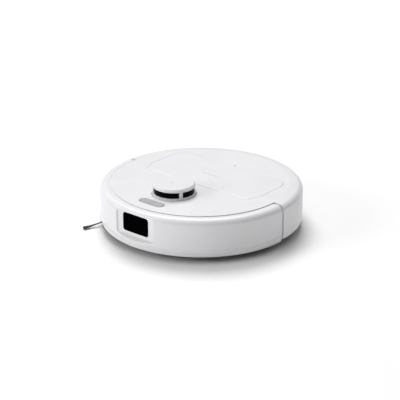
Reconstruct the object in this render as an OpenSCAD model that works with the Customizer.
// Robot vacuum cleaner with a laser turret, as an assembly of separate pieces.
// Millimetres. +Z is up, the floor is z = 0, the front faces -Y, the robot's left is +X.
// A bearing is an angle seen from above, counted from the front towards the left side.

/* [Body] */
// Radius of the round body
body_r = 175; // [174:0.5:177]
// Height of the flat deck above the floor
deck_z = 78; // [78:0.1:79]
// Height of the underside above the floor
base_z = 13; // [12.5:0.1:13]
// Thickness of the moulded shells
wall = 2.5; // [2:0.1:2.5]
// Radius of the rounded upper rim
rim_fillet = 10.5; // [10:0.5:10.5]

/* [Bumper] */
// How far the bumper slides in
bumper_travel = 2.5; // [2:0.1:2.5]
// Bearing at which the bumper ends on each side
bumper_end = 90.5; // [89:0.5:90.5]
// Height of the lip along the bumper's lower edge
lip_h = 11; // [10:0.5:12]

/* [Lid] */
// Half width of the lid
lid_x = 121; // [120:0.5:122]
// Place of the lid's rear edge
lid_rear = 92; // [90:0.5:93]
// Radius of the lid's rear corners
lid_corner = 28; // [20:1:30]
// Gap round the lid
lid_gap = 0.4; // [0.4:0.05:0.5]

/* [Turret] */
// Distance of the turret's centre ahead of the body's centre
turret_ahead = 70.5; // [70:0.5:71]
// Radius of the turret's base ring
turret_r = 37.5; // [37:0.1:37.5]
// Height of the turret above the deck
turret_h = 18.5; // [18:0.1:19]

/* [Running gear] */
// Radius of a drive wheel over its tread
wheel_r = 33; // [32:0.5:33]
// Distance of each drive wheel's middle from the centre line
wheel_x = 116; // [115.5:0.1:116]
// Radius of the caster wheel
caster_r = 13; // [12:0.5:13]
// Radius of the main brush over its fins
brush_r = 21.5; // [20:0.5:21.5]
// Radius that the side brush sweeps
side_brush_r = 65.5; // [60:0.5:65.5]

/* [Hidden] */
$fn = 96;
smooth = 240;                       // sides of the largest circles
eps = 0.01;
deck_t = wall;
under_deck = deck_z - deck_t;
shell_in = body_r - wall;
seam = 1;                           // width of the side seam, in degrees
rear_from = bumper_end + seam;
deck_front_r = 154.6;               // radius of the deck's free front edge
deck_full_r = 146;                   // the deck keeps its full thickness inside this radius
band_gap = bumper_travel + 0.3;     // between the deck and the bumper's top band at rest
band_r = deck_front_r + band_gap;
wall_set_back = 0.8;                // how far the bumper wall stands back from its lip
bumper_r = body_r - wall_set_back;
bulkhead_r = 163;                   // outer radius of the wall behind the bumper
floor_top = base_z + deck_t;

hinge_y = -13.5;
hinge_z = under_deck;
lid_front = hinge_y - deck_t;
tray_z = deck_z - 6;                // floor of the recess under the lid
tray_t = 2;

turret_y = -turret_ahead;
cap_z = deck_z + 13;
cap_r = turret_r - 1.5;
spindle_r = 5;
belt_z = deck_z - 11;               // underside of the lidar belt
lidar_motor_x = 46;

window_x = 27.5;                    // half width of the sensor window
window_z = [35.5, 67.5];
recess_x = 39.5;
recess_z = [31, 70];
recess_y = -167.2;                  // face of the recess floor

tread = [wheel_x - 9, wheel_x + 9];
axle_y = 6;
axle_z = wheel_r;
pivot_y = -60;
pivot_z = 36;
arm_x = [90, 105];

brush_y = -20;
brush_z = 23.5;
brush_x = [-79.5, 72];
tunnel_r = 24.5;
mouth_y = [brush_y - 26, brush_y + 28];
drive_y = -10;                      // brush motor axis
drive_z = 60.2;
pulley_x = 75.5;
pulley_w = 5;

side_brush_at = [-108, -95];
caster_at = [0, -122];
caster_trail = 6;
bin_x = [-94, 52];
bin_y = [25, 87];
bin_z = [17.5, 69];
fan_y = 62;
fan_z = 44;
button_y = -127;
button_travel = 0.7;
contact_bearing = 110;
post_places = [[126, -69], [80, -114], [140, 62], [40, 140]];
post_z = base_z + 9;

// ---------- shared shapes ----------

// Turns what is drawn at the front to a bearing
module bearing(degrees) { rotate([0, 0, degrees]) children(); }

// Sweeps an upright profile round the body between two bearings
module sweep(from, to) {
    rotate([0, 0, from - 90]) rotate_extrude(angle = to - from, $fn = smooth) children();
}

// A piece and its mirror image on the right side
module both_sides() {
    children();
    mirror([1, 0, 0]) children();
}

// A box between two corners
module block(x, y, z) {
    translate([x[0], y[0], z[0]]) cube([x[1] - x[0], y[1] - y[0], z[1] - z[0]]);
}

// A cylinder along X
module x_rod(r, x, y, z) {
    translate([x[0], y, z]) rotate([0, 90, 0]) cylinder(r = r, h = x[1] - x[0]);
}

// A cylinder along Y
module y_rod(r, x, y, z) {
    translate([x, y[1], z]) rotate([90, 0, 0]) cylinder(r = r, h = y[1] - y[0]);
}

// A ring with an upright axis
module tube(r_out, r_in, z) {
    translate([0, 0, z[0]]) difference() {
        cylinder(r = r_out, h = z[1] - z[0]);
        translate([0, 0, -1]) cylinder(r = r_in, h = z[1] - z[0] + 2);
    }
}

// A ring with its axis along X
module x_tube(r_out, r_in, x, y, z) {
    difference() {
        x_rod(r_out, x, y, z);
        x_rod(r_in, [x[0] - 1, x[1] + 1], y, z);
    }
}

// An open box: outer size and wall, without its top
module open_box(x, y, z, t) {
    difference() {
        block(x, y, z);
        block([x[0] + t, x[1] - t], [y[0] + t, y[1] - t], [z[0] + t, z[1] + 1]);
    }
}

// An outline with two round ends
module stadium(length, width) {
    square([length - width, width], center = true);
    for (side = [-1, 1]) translate([side * (length - width) / 2, 0]) circle(d = width);
}

// A rectangle with round corners
module rounded_rect(x, y, r) {
    square([x - 2 * r, y], center = true);
    square([x, y - 2 * r], center = true);
    for (i = [-1, 1], j = [-1, 1]) translate([i * (x / 2 - r), j * (y / 2 - r)]) circle(r);
}

// Two round pulleys' common outline, grown by some amount
module belt_loop(r1, r2, distance, grow) {
    hull() {
        circle(r1 + grow, $fn = 64);
        translate([distance, 0]) circle(r2 + grow, $fn = 32);
    }
}

// ---------- outer shells ----------

// Profile of the rear wall: straight side, rounded rim, deck with a slight fall
module shell_outline(inset, low) {
    rim_x = body_r - rim_fillet;
    rim_z = deck_z - 1 - rim_fillet;
    r = rim_fillet - inset;
    translate([0, low]) square([rim_x, rim_z + r - low]);
    translate([0, low]) square([body_r - inset, rim_z - low]);
    translate([rim_x, rim_z]) circle(r);
    polygon([[0, rim_z], [0, deck_z - inset], [rim_x - 17, deck_z - inset],
        [rim_x, rim_z + r], [rim_x, rim_z]]);
}

// The lid's outline behind its hinge line, grown outwards
module lid_outline(grow) {
    inner_x = lid_x - 8;
    slope = atan(8 / 14);
    side_shift = grow * tan(slope / 2);
    polygon([[inner_x + grow, lid_front - grow], [inner_x + grow, -7 + side_shift],
        [lid_x + grow, 7 - side_shift], [lid_x + grow, 50],
        [-lid_x - grow, 50], [-lid_x - grow, 7 - side_shift],
        [-inner_x - grow, -7 + side_shift], [-inner_x - grow, lid_front - grow]]);
    translate([0, lid_rear - 42]) rounded_rect(2 * (lid_x + grow), 2 * (42 + grow), lid_corner + grow);
}

// The upright wall that closes the rear shell at the seam, with a tongue behind the gap
module seam_backing() {
    sweep(rear_from + 0.2, rear_from + 1.4) translate([bulkhead_r + 0.4, base_z + 5])
        square([shell_in - bulkhead_r, 53]);
    sweep(bumper_end - 1, rear_from + 0.5) translate([168.6, base_z + 9.5]) square([2.2, 44.5]);
}

module exhaust_slots() {
    for (i = [-4:4]) bearing(154 + i * 2.2) block([-1.3, 1.3], [-body_r - 5, -150], [24, 38]);
}

module housing_solids() {
    sweep(rear_from, 360 - rear_from) difference() {
        shell_outline(0, base_z + 4);
        translate([0, -1]) shell_outline(wall, base_z + 3);
        translate([-1, 0]) square([152, under_deck]);
    }
    rotate_extrude($fn = smooth) {
        translate([0, under_deck]) square([deck_full_r, deck_t]);
        translate([0, deck_z - 1.2]) square([deck_front_r - 0.6, 1.2]);
        translate([deck_front_r - 0.6, deck_z - 0.6]) circle(0.6, $fn = 48);
    }
    both_sides() seam_backing();
    translate([0, 0, tray_z - tray_t]) linear_extrude(under_deck - tray_z + tray_t + 1)
        intersection() {
            lid_outline(lid_gap + 2);
            circle(deck_front_r - 10);
        }
    both_sides() block([lid_x - 8.5, lid_x], [hinge_y - 4, hinge_y + 4], [tray_z, deck_z - 1]);
    both_sides() for (p = post_places) translate([p[0], p[1], post_z])
        cylinder(r = 4, h = under_deck - post_z + 0.5);
}

module top_housing() color("white") difference() {
    housing_solids();
    translate([0, 0, tray_z]) linear_extrude(10) lid_outline(lid_gap);
    block([bin_x[0] - 1.5, 60], [bin_y[0] - 1.5, bin_y[1] + 1.5], [60, deck_z]);
    translate([-104, 66, 60]) linear_extrude(20) square([8.6, 14.6], center = true);
    translate([0, turret_y, 60]) cylinder(r = turret_r + 0.7, h = 30);
    translate([0, button_y, 70]) linear_extrude(20) stadium(52.4, 18.4);
    translate([0, lid_rear + 0.8, deck_z - 2]) linear_extrude(5) stadium(5, 4);
    both_sides() x_rod(1.02, [100, 119.5], hinge_y, hinge_z);
    both_sides() for (p = post_places) translate([p[0], p[1], post_z - 1]) cylinder(r = 1.3, h = 12);
    for (side = [-1, 1]) bearing(side * contact_bearing)
        block([-3.2, 3.2], [-body_r - 1, -body_r + 2], [34.8, 60.2]);
    exhaust_slots();
}

module bumper_section() {
    fillet_at = [bumper_r - rim_fillet, deck_z - 1 - rim_fillet];
    ledge = base_z - 1 + lip_h + 1;
    difference() {
        union() {
            translate([band_r, fillet_at[1]]) square([fillet_at[0] - band_r, rim_fillet]);
            translate([band_r, ledge]) square([bumper_r - band_r, fillet_at[1] - ledge]);
            translate(fillet_at) circle(rim_fillet);
            polygon([[160, 12], [body_r - 3.5, 12], [body_r, ledge - 2.5], [body_r, ledge - 1],
                [bumper_r, ledge - 0.2], [160, ledge + 1]]);
        }
        translate([100, 0]) square([fillet_at[0] - 100, fillet_at[1] + rim_fillet - wall]);
        translate([100, ledge - 2]) square([bumper_r - wall - 100, fillet_at[1] - ledge + 2]);
        translate(fillet_at) circle(rim_fillet - wall);
        polygon([[100, 0], [body_r - 6.5, 0], [body_r - 6.5, 12], [bumper_r - wall, ledge - 2],
            [100, ledge]]);
    }
    translate([151, deck_z - 5]) square([9, 3.4]);
    translate([band_r, deck_z - 5]) square([2.5, 4]);
}

// One upright slice of the recess round the sensor window
module recess_slice(y, half_width, z, r) translate([0, y, (z[0] + z[1]) / 2]) rotate([90, 0, 0])
    linear_extrude(0.1) rounded_rect(2 * half_width, z[1] - z[0], r, $fn = 32);

module window_recess() hull() {
    recess_slice(recess_y, recess_x, recess_z, 5);
    recess_slice(-body_r - 1, recess_x + 5, [recess_z[0] - 6.6, recess_z[1] + 3.5], 7);
}

module bumper() color("white") difference() {
    union() {
        sweep(-bumper_end, bumper_end) bumper_section();
        intersection() {
            translate([0, 0, 25]) cylinder(r = bumper_r - 1, h = 48, $fn = smooth);
            block([-47, 47], [-180, -163.4], [26, 74]);
        }
    }
    window_recess();
    translate([0, -150, (window_z[0] + window_z[1]) / 2]) rotate([90, 0, 0]) linear_extrude(30)
        rounded_rect(2 * window_x + 0.4, window_z[1] - window_z[0] + 0.4, 5.2);
}

module front_window() color("#101214")
    translate([0, recess_y + 2.8, (window_z[0] + window_z[1]) / 2]) rotate([90, 0, 0])
        linear_extrude(3.6) rounded_rect(2 * window_x, window_z[1] - window_z[0], 5);

module lid() color("white") difference() {
    union() {
        translate([0, 0, under_deck]) linear_extrude(deck_t) difference() {
            lid_outline(0);
            translate([-150, hinge_y - 20]) square([300, 20]);
        }
        x_rod(deck_t, [-lid_x + 8.5, lid_x - 8.5], hinge_y, hinge_z);
        translate([0, 0, under_deck - 1.5]) linear_extrude(2) difference() {
            intersection() {
                lid_outline(-4);
                translate([-150, hinge_y + 6]) square([300, 200]);
            }
            translate([0, 2]) lid_outline(-8);
        }
    }
    both_sides() x_rod(1.05, [lid_x - 17, lid_x], hinge_y, hinge_z);
}

module lid_hinge_pins() color("silver")
    both_sides() x_rod(1, [lid_x - 16, lid_x - 2], hinge_y, hinge_z);

// ---------- underside ----------

module chassis_plates() {
    inner_r = 153;
    wall_r = shell_in - 0.6;
    skin = 0.4;                     // the front edge ring's faces stand this far inside the floor's
    rear_skin = 0.7;
    translate([0, 0, base_z]) cylinder(r = inner_r + 1.4, h = deck_t, $fn = smooth);
    sweep(-rear_from - 1.8, rear_from + 1.8) polygon([[inner_r, base_z + skin],
        [bulkhead_r - 6, base_z + skin], [bulkhead_r, base_z + 3.5],
        [bulkhead_r, deck_z - 7.4], [bulkhead_r - 2, deck_z - 7.4],
        [bulkhead_r - 2, floor_top + 2], [bulkhead_r - 8, floor_top - skin],
        [inner_r, floor_top - skin]]);
    sweep(rear_from + 1.5, 358.5 - rear_from) polygon([[inner_r - 1, base_z + rear_skin],
        [158, base_z + rear_skin], [wall_r, base_z + 4.4], [wall_r, 34], [wall_r - 2, 34],
        [wall_r - 2, base_z + 6], [157.4, floor_top - rear_skin], [inner_r - 1, floor_top - rear_skin]]);
}

// Walls round one drive wheel, and the ears that hold its arm
module wheel_bay() {
    block([126.5, 128], [-36, 46], [floor_top - 1, 67]);
    block([106.5, 128], [-36, -34.5], [floor_top - 1, 67]);
    block([97, 128], [44.5, 46], [floor_top - 1, 67]);
    block([106.5, 128], [-36, 46], [67, 68.5]);
    block([106.5, 111.5], [pivot_y - 8, pivot_y + 8], [floor_top - 1, pivot_z + 9]);
    block([75, 79], [pivot_y - 14.5, pivot_y + 12.6], [floor_top - 1, pivot_z + 14.5]);
}

module wheel_bay_cuts() {
    block([89, 126.5], [-34.5, 44.5], [0, floor_top + 5]);
    x_rod(4.05, [100, 125], pivot_y, pivot_z);
    x_rod(12.8, [70, 85], pivot_y, pivot_z);
}

module chassis_base() color("#3b3e42") difference() {
    union() {
        chassis_plates();
        both_sides() wheel_bay();
        both_sides() for (p = post_places) translate([p[0], p[1], floor_top - 1])
            cylinder(r = 4.6, h = post_z - floor_top + 0.6);
    }
    both_sides() wheel_bay_cuts();
    block([-84.2, 86.2], mouth_y, [0, 30]);
    block([-70, 70], [-98, -56], [0, 30]);
    translate([caster_at[0], caster_at[1], 0]) cylinder(r = 22.7, h = 40);
    translate([side_brush_at[0], side_brush_at[1], 0]) cylinder(r = 7, h = 40);
    translate([side_brush_at[0], side_brush_at[1], 0]) cylinder(r = 15, h = base_z + 1);
    block([-50, 50], [-180, -150], [25, 90]);
    block([-72, 72], [-180, -140], [37, 53]);
    both_sides() for (p = post_places) {
        translate([p[0], p[1], 0]) cylinder(r = 1.3, h = 40);
        translate([p[0], p[1], 0]) cylinder(r = 3.3, h = base_z + 2);
    }
    cliff_places() linear_extrude(40) stadium(24.4, 10.4);
    translate([92, -92, 0]) for (i = [-3:3]) block([i * 4 - 1, i * 4 + 1], [-11, 11], [0, 40]);
}

module cliff_places() {
    for (b = [18, -18, 74, -74, 150, -150]) bearing(b) translate([0, -145]) children();
}

module cliff_sensors() color("#15171a")
    cliff_places() translate([0, 0, base_z + 0.4]) linear_extrude(5) stadium(24, 10);

module charge_contacts() color("#c9ccd0")
    for (side = [-1, 1]) bearing(side * contact_bearing)
        block([-3, 3], [-body_r - 0.3, -body_r + 1.9], [35, 60]);

module screws() color("#8a8d91") both_sides() for (p = post_places) translate([p[0], p[1], 0])
    difference() {
        union() {
            translate([0, 0, base_z + 0.3]) cylinder(r = 3, h = 1.6);
            translate([0, 0, base_z + 1.8]) cylinder(r = 1.22, h = 16);
        }
        translate([0, 0, base_z - 1]) for (a = [0, 90]) rotate([0, 0, a])
            translate([-1.8, -0.35, 0]) cube([3.6, 0.7, 2.3]);
    }

module battery_pack() color("#3a6ea5") {
    for (i = [0, 1], j = [0, 1])
        x_rod(9.2, [-66, 66], -86.4 + i * 18.6, base_z + 13.6 + j * 18.6);
    block([-64, 64], [-95, -58.6], [base_z + 5, base_z + 41]);
}

module battery_cover() color("#3b3e42") difference() {
    block([-69.6, 69.6], [-97.6, -56.4], [base_z, floor_top]);
    for (x = [-60, 60]) translate([x, -77, base_z - 1]) linear_extrude(2) stadium(12, 7);
}

module main_board() color("#1e6b3a") {
    difference() {
        block([-64, 33], [-98, -58], [56, 57.6]);
        for (x = [-60, 29], y = [-94, -62]) translate([x, y, 50]) cylinder(r = 1.5, h = 10);
    }
    for (chip = [[-30, -80, 14], [-6, -84, 10], [14, -70, 8], [-50, -72, 9]])
        block([chip[0] - chip[2] / 2, chip[0] + chip[2] / 2],
            [chip[1] - chip[2] / 2, chip[1] + chip[2] / 2], [57.6, 59.2]);
}

module speaker() color("#2a2c30") translate([92, -92, floor_top + 0.2]) {
    difference() {
        cylinder(r = 18, h = 4);
        translate([0, 0, -1]) cylinder(r = 14, h = 4);
    }
    translate([0, 0, 4]) cylinder(r = 12, h = 9);
}

// ---------- front sensors and bump switches ----------

module camera_module() color("#24262a") {
    block([-30, 30], [-152, -148], [40, 68]);
    for (x = [-17, 17]) y_rod(6.5, x, [-160, -151.5], 54);
    y_rod(3.5, 0, [-158, -151.5], 60);
    block([-4, 4], [-157, -151.5], [45, 52]);
}

// The lever on the left: it turns on an upright pin and feels the bumper's wall
module bumper_lever_left() color("#d8d9db") difference() {
    union() {
        translate([46, -148, 40]) cylinder(r = 4, h = 10);
        translate([46, -148, 42]) rotate([0, 0, atan2(-8, 20)]) translate([0, -1.6, 0]) cube([21.5, 3.2, 6]);
        translate([66, -156, 42.5]) cylinder(r = 1.8, h = 5);
    }
    translate([46, -148, 39]) cylinder(r = 1.55, h = 12);
}

module bumper_lever_right() mirror([1, 0, 0]) bumper_lever_left();

// ---------- turret ----------

module turret_base() color("white") translate([0, turret_y, 0]) {
    difference() {
        union() {
            tube(turret_r - 0.2, turret_r - 2.9, [deck_z - 18, deck_z + eps]);
            tube(turret_r, turret_r - 5.5, [deck_z, deck_z + 3]);
            translate([0, 0, deck_z - 18]) cylinder(r = turret_r - 1, h = 2);
            block([20, 60], [-12, 12], [deck_z - 18, deck_z - 16]);
        }
        block([24, 60], [-25, 25], [belt_z - 1, belt_z + 6]);
        translate([lidar_motor_x, 0, deck_z - 20]) cylinder(r = 10.2, h = 10);
    }
    translate([0, 0, deck_z - 17]) cylinder(r = spindle_r, h = 15);
    for (b = [60, 180, 300]) bearing(b) block([-3, 3], [0.4 - cap_r, 2.95 - turret_r], [deck_z + 2, cap_z]);
}

module turret_window() color("#0c0d10") translate([0, turret_y, 0])
    tube(turret_r - 3, turret_r - 5, [deck_z + 3.05, cap_z - 0.05]);

module turret_cap() color("white") translate([0, turret_y, cap_z])
    rotate_extrude() polygon([[0, 2], [cap_r - 3, 2], [cap_r - 3, 0], [cap_r - 0.4, 0], [cap_r, 0.5],
        [cap_r, 3], [cap_r - 2.6, turret_h - 13], [0, turret_h - 13]]);

module lidar_rotor() color("#303338") translate([0, turret_y, 0]) {
    difference() {
        union() {
            translate([0, 0, belt_z - 0.4]) cylinder(r = 23.7, h = 4.3);
            translate([0, 0, belt_z - 2]) cylinder(r = 9, h = 12);
            translate([0, 0, deck_z - 3]) cylinder(r = 30, h = 2);
            block([-22, 22], [-12, 12], [deck_z - 1.5, deck_z + 12]);
        }
        translate([0, 0, belt_z - 5]) cylinder(r = spindle_r + 0.05, h = 15);
        for (x = [-12, 12]) y_rod(6, x, [-13, -8], deck_z + 6);
    }
    for (x = [-12, 12]) y_rod(5.5, x, [-9, -7.9], deck_z + 6);
}

module lidar_motor() color("#9a9da1") translate([lidar_motor_x, turret_y, 0]) {
    translate([0, 0, deck_z - 23]) cylinder(r = 10, h = 9.6);
    translate([0, 0, deck_z - 14]) cylinder(r = 1, h = 7.6);
}

module lidar_pulley() color("#d8d9db") translate([lidar_motor_x, turret_y, 0])
    tube(5, 1.05, [belt_z - 0.4, belt_z + 3.9]);

module lidar_belt() color("#1a1a1c") translate([0, turret_y, belt_z]) linear_extrude(3.5)
    difference() {
        belt_loop(23.7, 5, lidar_motor_x, 1.3);
        belt_loop(23.7, 5, lidar_motor_x, 0.3);
    }

// ---------- buttons ----------

module button_bezel() color("#b2b3b6") translate([0, button_y, 0]) difference() {
    translate([0, 0, deck_z - 4]) linear_extrude(4.2) stadium(52, 18);
    translate([0, 0, deck_z - 5]) linear_extrude(10) stadium(48, 14);
}

module left_button() color("#b2b3b6") translate([0, button_y, 0]) {
    translate([0, 0, deck_z - 3]) linear_extrude(3.6) intersection() {
        stadium(47.4, 13.4);
        translate([0.3, -10]) square([30, 20]);
    }
    translate([12, 0, deck_z - 6.2 + button_travel]) cylinder(r = 2, h = 3);
}

module right_button() mirror([1, 0, 0]) left_button();

module button_board() color("#1e6b3a") translate([0, button_y, 0]) {
    block([-26, 26], [-9, 9], [deck_z - 8.5, deck_z - 7]);
    for (x = [-12, 12]) translate([x, 0, deck_z - 7]) cylinder(r = 3, h = 0.5);
}

module power_switch() color("#b03030") translate([-104, 66, tray_z - 1.5]) rotate([-6, 0, 0]) {
    translate([-4, -6.6, 0]) cube([8, 13.2, 2]);
    x_rod(2, [-4, 4], 0, 0);
}

// ---------- dust bin and fan ----------

module dust_bin() color("#c7ccd2") difference() {
    open_box(bin_x, bin_y, bin_z, 2);
    block([-40, 36], [bin_y[0] - 1, bin_y[0] + 3], [32, 49.2]);
    block([bin_x[1] - 3, bin_x[1] + 1], [34, 78], [27, 61]);
}

module bin_cover() color("#9fa4aa") difference() {
    union() {
        block(bin_x, bin_y, [bin_z[1] + 0.05, bin_z[1] + 2.6]);
        open_box([bin_x[0] + 2.3, bin_x[1] - 2.3], [bin_y[0] + 2.3, bin_y[1] - 2.3],
            [bin_z[1] - 3, bin_z[1] + 1], 1.5);
    }
    translate([-21, 56, bin_z[1] + 1.4]) linear_extrude(3) rounded_rect(84, 24, 6);
    block([bin_x[0] + 5, bin_x[1] - 5], [bin_y[0] + 5, bin_y[1] - 5], [bin_z[1] - 4, bin_z[1] - 0.5]);
}

module bin_handle() color("#5b6066") translate([-21, 56, bin_z[1] + 1.5]) linear_extrude(1.9)
    difference() {
        rounded_rect(82, 22, 5);
        rounded_rect(66, 10, 3);
    }

module filter_frame() color("#eceef0") difference() {
    block([bin_x[1] + 0.1, bin_x[1] + 6], [33, 79], [26, 62]);
    block([bin_x[1] - 1, bin_x[1] + 7], [36, 76], [29, 59]);
}

module filter_pleats() color("#f4f4ee") translate([bin_x[1] + 3, 36.2, 29.2]) linear_extrude(29.6)
    polygon(concat([for (i = [0:20]) [i % 2 == 0 ? -2.2 : 1.4, i * 1.98]],
        [for (i = [20:-1:0]) [i % 2 == 0 ? -1.2 : 2.4, i * 1.98]]));

module fan_housing() color("#4a4e54") difference() {
    union() {
        x_rod(25.5, [60, 84], fan_y, fan_z);
        block([60, 84], [fan_y, 146], [18.5, 40]);
    }
    x_rod(23.7, [62, 82], fan_y, fan_z);
    x_rod(14, [58, 64], fan_y, fan_z);
    x_rod(15.2, [80, 86], fan_y, fan_z);
    block([62, 82], [fan_y + 2, 150], [20.3, 38.2]);
}

module impeller() color("#c9ccd0") difference() {
    union() {
        x_rod(21.5, [75, 76.5], fan_y, fan_z);
        x_rod(5, [66, 76], fan_y, fan_z);
        for (i = [0:8]) translate([0, fan_y, fan_z]) rotate([i * 40, 0, 0])
            block([66.4, 75.5], [4, 20.5], [-0.6, 0.6]);
    }
    x_rod(1.55, [60, 80], fan_y, fan_z);
}

module fan_motor() color("#9a9da1") {
    x_rod(15, [79, 103], fan_y, fan_z);
    x_rod(1.5, [67, 79.5], fan_y, fan_z);
}

// ---------- main brush ----------

module brush_housing() color("#4a4e54") difference() {
    union() {
        intersection() {
            x_rod(26, [-82, 84], brush_y, brush_z);
            block([-90, 90], [brush_y - 30, brush_y + 30], [base_z + 0.2, 60]);
        }
        block([-82, 84], [brush_y - 26, brush_y + 26], [base_z + 0.2, brush_z]);
        block([-42, 38], [brush_y + 10, bin_y[0] - 0.2], [30.2, 51]);
    }
    x_rod(tunnel_r, [-80, 72.5], brush_y, brush_z);
    x_rod(tunnel_r, [74, 82], brush_y, brush_z);
    block([-80, 72.5], [brush_y - tunnel_r, brush_y + tunnel_r], [0, brush_z]);
    block([74, 82], [brush_y - tunnel_r, brush_y + tunnel_r], [0, brush_z]);
    block([-40, 36], [brush_y + 12, bin_y[0] + 2], [32, 49.2]);
    block([74, 82], [brush_y - 14, brush_y + 23], [brush_z, 60]);
    x_rod(5.05, [-90, 90], brush_y, brush_z);
}

module main_brush() color("#5b6066") {
    x_rod(14, brush_x, brush_y, brush_z);
    x_rod(5, [-82, pulley_x + pulley_w + 3.4], brush_y, brush_z);
    for (i = [0:5]) translate([0, brush_y, brush_z]) rotate([i * 60, 0, 0])
        block([brush_x[0] + 0.5, brush_x[1] - 0.5], [-1.4, 1.4], [10, brush_r - 0.05]);
}

module brush_pulley() color("#d8d9db")
    x_tube(9, 5.05, [pulley_x, pulley_x + pulley_w], brush_y, brush_z);

module brush_motor() color("#9a9da1") {
    x_rod(8.8, [20, 70], drive_y, drive_z);
    x_rod(1.5, [69, pulley_x + pulley_w + 1], drive_y, drive_z);
}

module motor_pulley() color("#d8d9db")
    x_tube(6, 1.55, [pulley_x, pulley_x + pulley_w], drive_y, drive_z);

module brush_belt() color("#1a1a1c") {
    run = [drive_y - brush_y, drive_z - brush_z];
    translate([pulley_x + 0.3, brush_y, brush_z]) rotate([atan2(run[1], run[0]), 0, 0])
        rotate([90, 0, 90]) linear_extrude(pulley_w - 0.6) difference() {
            belt_loop(9, 6, norm(run), 1.3);
            belt_loop(9, 6, norm(run), 0.3);
        }
}

module brush_guard() color("#5b6066") difference() {
    block([-88, 89.4], [mouth_y[0] - 6, mouth_y[1] + 6], [base_z - 2, base_z - 0.05]);
    block([-81, 73.5], [brush_y - 24.3, brush_y + 24.3], [0, 30]);
    for (x = [-84.7, 82]) translate([x, brush_y, 0]) linear_extrude(30) stadium(5, 4.9);
}

// ---------- side brush and caster ----------

// One arm of the side brush, narrow at the hub and fanned at its tip
module side_brush_arm() {
    reach = side_brush_r;
    lag = 9;
    rise = atan2(6.2, reach);
    translate([0, 0, 9.6]) rotate([0, rise, 0]) linear_extrude(1.6) polygon([
        [9, -2.6], [reach * 0.5, -2.8 + lag * 0.2], [reach * 0.98, -7 + lag],
        [reach, lag], [reach * 0.975, 5 + lag], [reach * 0.5, 2.8 + lag * 0.2], [9, 2.6]]);
}

module side_brush() color("#2b2d30") translate([side_brush_at[0], side_brush_at[1], 0])
    difference() {
        union() {
            translate([0, 0, 6.6]) cylinder(r = 13, h = 5.8);
            for (i = [0:2]) rotate([0, 0, 238 + i * 120]) side_brush_arm();
        }
        translate([0, 0, 6.5 - 1]) cylinder(r = 1.6, h = 2.4);
        translate([0, 0, 7.8]) cylinder(r = 4.05, h = 10);
    }

module side_brush_motor() color("#4a4e54") translate([side_brush_at[0], side_brush_at[1], 0])
    difference() {
        union() {
            translate([0, 0, floor_top + 1.5]) cylinder(r = 15.5, h = 17);
            translate([0, 0, floor_top + 18]) cylinder(r = 10, h = 22);
            translate([0, 0, 8]) cylinder(r = 4, h = 11);
        }
        cylinder(r = 1.25, h = 14);
    }

module side_brush_screw() color("#8a8d91") translate([side_brush_at[0], side_brush_at[1], 0])
    difference() {
        union() {
            translate([0, 0, 4.6]) cylinder(r = 4, h = 2);
            translate([0, 0, 6.5]) cylinder(r = 1.2, h = 6);
        }
        for (a = [0, 90]) rotate([0, 0, a]) translate([-2, -0.4, 3]) cube([4, 0.8, 2.6]);
    }

module caster_socket() color("#4a4e54") translate([caster_at[0], caster_at[1], 0]) difference() {
    union() {
        translate([0, 0, base_z]) cylinder(r = 22.5, h = 20);
        translate([0, 0, base_z - 1.2]) cylinder(r = 24.5, h = 1.1);
        translate([0, 0, base_z - 0.5]) cylinder(r = 22.5, h = 1);
        translate([0, 0, 32]) cylinder(r = 7, h = 8);
    }
    cylinder(r = 20.5, h = 30.5);
    cylinder(r = 4.05, h = 38.5);
}

module caster_fork() color("#303338") translate([caster_at[0], caster_at[1], 0]) difference() {
    union() {
        translate([0, 0, 25]) cylinder(r = 19.4, h = 4.5);
        translate([0, 0, 29]) cylinder(r = 4, h = 9);
        for (side = [-1, 1]) translate([side * 9.5, caster_trail, caster_r]) rotate([0, 90, 0])
            cylinder(r = 6, h = 3, center = true);
        for (side = [-1, 1]) block([side * 9.5 - 1.5, side * 9.5 + 1.5],
            [caster_trail - 6, caster_trail + 6], [caster_r, 26]);
    }
    translate([0, caster_trail, caster_r]) rotate([0, 90, 0]) cylinder(r = caster_r + 0.8, h = 15, center = true);
    translate([0, caster_trail, caster_r]) rotate([0, 90, 0]) cylinder(r = 1.55, h = 40, center = true);
}

module caster_wheel() color("#1c1d1f") translate([0, caster_at[1] + caster_trail, caster_r])
    rotate([0, 90, 0]) {
        translate([0, 0, -6]) rotate_extrude() {
            square([caster_r - 1.5, 12]);
            translate([0, 1.5]) square([caster_r, 9]);
            for (z = [1.5, 10.5]) translate([caster_r - 1.5, z]) circle(1.5);
        }
        cylinder(r = 1.5, h = 21, center = true);
    }

// ---------- drive wheels, drawn for the left side ----------

module arm_outline() {
    translate([pivot_y, pivot_z]) circle(13);
    translate([axle_y, axle_z]) circle(15);
    translate([pivot_y, pivot_z]) rotate(atan2(axle_z - pivot_z, axle_y - pivot_y))
        translate([0, -10]) square([axle_y - pivot_y, 20]);
}

module wheel_arm() color("#3f434a") difference() {
    union() {
        translate([arm_x[0], 0, 0]) rotate([90, 0, 90]) linear_extrude(arm_x[1] - arm_x[0]) arm_outline();
        x_rod(4, [arm_x[1] - 1, 120], pivot_y, pivot_z);
        x_rod(3, [arm_x[1] - 1, 125.5], axle_y, axle_z);
    }
    for (a = [0:60:300]) translate([0, axle_y, axle_z]) rotate([a, 0, 0])
        x_rod(1.2, [arm_x[0] - 1, arm_x[0] + 2], 11.5, 0);
}

module wheel_motor() color("#9a9da1") {
    x_rod(12.5, [71, arm_x[0] - 0.1], pivot_y, pivot_z);
    x_rod(4, [69.5, 71.5], pivot_y, pivot_z);
}

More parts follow.
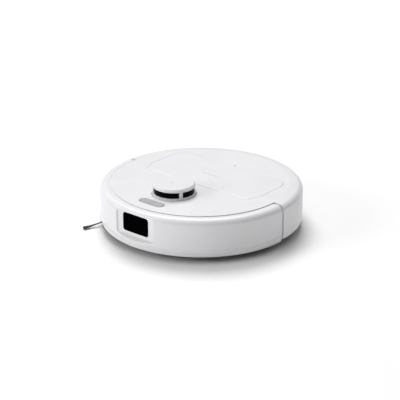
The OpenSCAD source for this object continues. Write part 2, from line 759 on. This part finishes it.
module wheel_spring() color("#8f9297") {
    for (i = [0:4]) translate([112.9 + i * 1.5, pivot_y, pivot_z]) rotate([0, 90, 0])
        rotate_extrude() translate([6, 0]) circle(0.7, $fn = 24);
    x_rod(0.7, [112.9, 118.9], pivot_y + 6, pivot_z);
}

module wheel_hub() color("#6b7077") difference() {
    union() {
        x_tube(25.9, 22, tread, axle_y, axle_z);
        x_tube(22.5, 3.05, [wheel_x - 2, wheel_x + 2], axle_y, axle_z);
        x_tube(7, 3.05, tread, axle_y, axle_z);
        for (i = [0:4]) translate([0, axle_y, axle_z]) rotate([i * 72, 0, 0])
            block([wheel_x, wheel_x + 8], [6, 23], [-1.5, 1.5]);
    }
    for (i = [0:4]) translate([0, axle_y, axle_z]) rotate([36 + i * 72, 0, 0])
        x_rod(4.5, [wheel_x - 5, wheel_x + 5], 14.5, 0);
}

module wheel_tyre() color("#1c1d1f") difference() {
    x_tube(wheel_r, 26, tread, axle_y, axle_z);
    for (i = [0:29]) translate([0, axle_y, axle_z]) rotate([i * 12 + 6, 0, 0]) {
        block([tread[0] - 1, wheel_x - 1.5], [wheel_r - 2, wheel_r + 2], [-1, 1]);
        rotate([6, 0, 0]) block([wheel_x + 1.5, tread[1] + 1], [wheel_r - 2, wheel_r + 2], [-1, 1]);
    }
}

module left_wheel_arm() wheel_arm();
module left_wheel_motor() wheel_motor();
module left_wheel_spring() wheel_spring();
module left_wheel_hub() wheel_hub();
module left_wheel_tyre() wheel_tyre();
module right_wheel_arm() mirror([1, 0, 0]) wheel_arm();
module right_wheel_motor() mirror([1, 0, 0]) wheel_motor();
module right_wheel_spring() mirror([1, 0, 0]) wheel_spring();
module right_wheel_hub() mirror([1, 0, 0]) wheel_hub();
module right_wheel_tyre() mirror([1, 0, 0]) wheel_tyre();

chassis_base();
top_housing();
bumper();
front_window();
camera_module();
bumper_lever_left();
bumper_lever_right();
lid();
lid_hinge_pins();
turret_base();
turret_window();
turret_cap();
lidar_rotor();
lidar_motor();
lidar_pulley();
lidar_belt();
button_bezel();
left_button();
right_button();
button_board();
dust_bin();
bin_cover();
bin_handle();
filter_frame();
filter_pleats();
fan_housing();
impeller();
fan_motor();
battery_pack();
battery_cover();
main_board();
brush_housing();
main_brush();
brush_guard();
brush_pulley();
brush_motor();
motor_pulley();
brush_belt();
side_brush();
side_brush_motor();
side_brush_screw();
caster_socket();
caster_fork();
caster_wheel();
left_wheel_arm();
left_wheel_motor();
left_wheel_spring();
left_wheel_hub();
left_wheel_tyre();
right_wheel_arm();
right_wheel_motor();
right_wheel_spring();
right_wheel_hub();
right_wheel_tyre();
cliff_sensors();
charge_contacts();
speaker();
power_switch();
screws();
